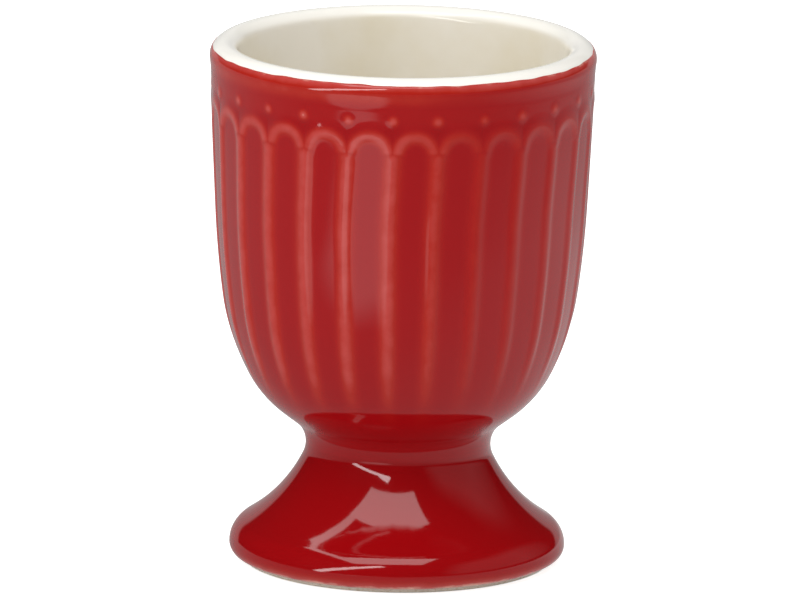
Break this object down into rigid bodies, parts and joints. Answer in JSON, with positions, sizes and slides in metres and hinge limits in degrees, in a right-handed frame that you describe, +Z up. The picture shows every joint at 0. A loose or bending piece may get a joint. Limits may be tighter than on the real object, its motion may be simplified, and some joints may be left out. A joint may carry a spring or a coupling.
{
  "type": "egg cup",
  "caption": "Footed egg cup with a deep open bowl, arcaded fluting under a beaded frieze, a narrow waist and a flared hollow foot",
  "frame": {"origin": "centre of the ring that the cup stands on", "axes": "+Z up along the axis of the cup; +X through the middle of one flute"},
  "size_m": [0.049, 0.0492, 0.067],
  "materials": {
    "stoneware": "bare fired",
    "slip": "bare fired",
    "red_glaze": "gloss",
    "cream_glaze": "gloss"
  },
  "bodies": {
    "root": {"bowl_body": "stoneware", "foot_body": "stoneware", "luting_slip": "slip", "outer_glaze": "red_glaze", "lining_glaze": "cream_glaze", "base_glaze": "cream_glaze"}
  },
  "joints": []
}
